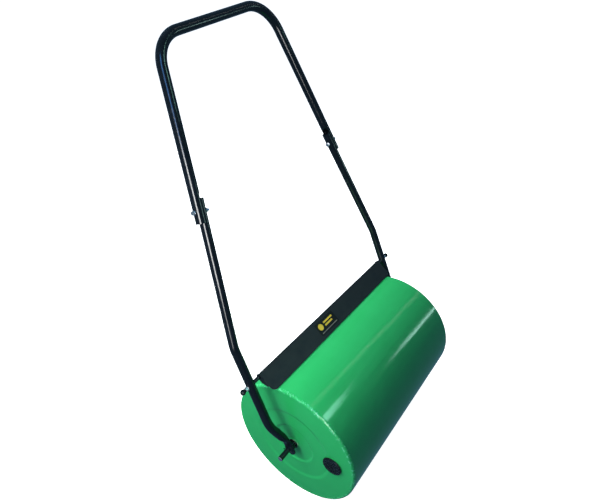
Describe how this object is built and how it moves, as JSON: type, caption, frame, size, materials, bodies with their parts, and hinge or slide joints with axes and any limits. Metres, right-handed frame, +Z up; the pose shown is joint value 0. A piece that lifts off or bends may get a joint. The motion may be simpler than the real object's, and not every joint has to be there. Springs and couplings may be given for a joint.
{
  "type": "lawn roller",
  "caption": "Hand lawn roller: a hollow steel ballast drum on a through axle, with a scraper blade and a two-part bolted tubular push handle.",
  "frame": {"origin": "on the ground under the middle of the drum, on the tread's lowest facet", "axes": "+X along the axle from the filler-plug end to the other end, +Y the way the handle leans back, towards the person who pushes, +Z up"},
  "size_m": [0.6354, 0.548, 0.9988],
  "materials": {
    "green_enamel": "glossy green enamel on steel sheet",
    "black_enamel": "glossy black enamel on steel",
    "zinc": "bright zinc-plated steel",
    "black_plastic": "satin black moulded plastic",
    "rubber": "dull black rubber",
    "label_film": "printed film"
  },
  "bodies": {
    "handle_frame": {"axle_rod": "black_enamel", "axle_spacer_left": "black_plastic", "axle_spacer_right": "black_plastic", "axle_washer_left": "black_enamel", "axle_washer_right": "black_enamel", "split_pin_left": "black_enamel", "split_pin_right": "black_enamel", "lower_tube_left": "black_enamel", "lower_tube_right": "black_enamel", "upper_handle": "black_enamel", "handle_bolt_left": "zinc", "handle_bolt_right": "zinc", "handle_washer_left": "zinc", "handle_washer_right": "zinc", "handle_nut_left": "zinc", "handle_nut_right": "zinc", "scraper_bolt_left": "zinc", "scraper_bolt_right": "zinc", "scraper_spacer_left": "black_enamel", "scraper_spacer_right": "black_enamel", "scraper_washer_left": "zinc", "scraper_washer_right": "zinc", "scraper_nut_left": "zinc", "scraper_nut_right": "zinc", "scraper_nut_cover_left": "black_plastic", "scraper_nut_cover_right": "black_plastic"},
    "drum": {"drum_shell": "green_enamel", "end_cap_left": "green_enamel", "end_cap_right": "green_enamel", "axle_sleeve": "green_enamel", "hub_bush_left": "black_plastic", "hub_bush_right": "black_plastic", "filler_boss": "green_enamel"},
    "filler_plug": {"filler_plug": "black_plastic", "filler_seal": "rubber"},
    "scraper": {"scraper_blade": "black_enamel", "scraper_label": "label_film"}
  },
  "joints": [
    {"name": "drum_spin", "type": "hinge", "parent": "handle_frame", "child": "drum", "pos_m": [0, 0, 0.16], "axis": [1, 0, 0], "continuous": true},
    {"name": "filler_plug_pull", "type": "slide", "parent": "drum", "child": "filler_plug", "axis": [-1, 0, 0], "range_m": [0, 0.045]},
    {"name": "scraper_tilt", "type": "hinge", "parent": "handle_frame", "child": "scraper", "pos_m": [0, 0.07991, 0.33535], "axis": [-1, 0, 0], "range_deg": [0, 60]}
  ]
}
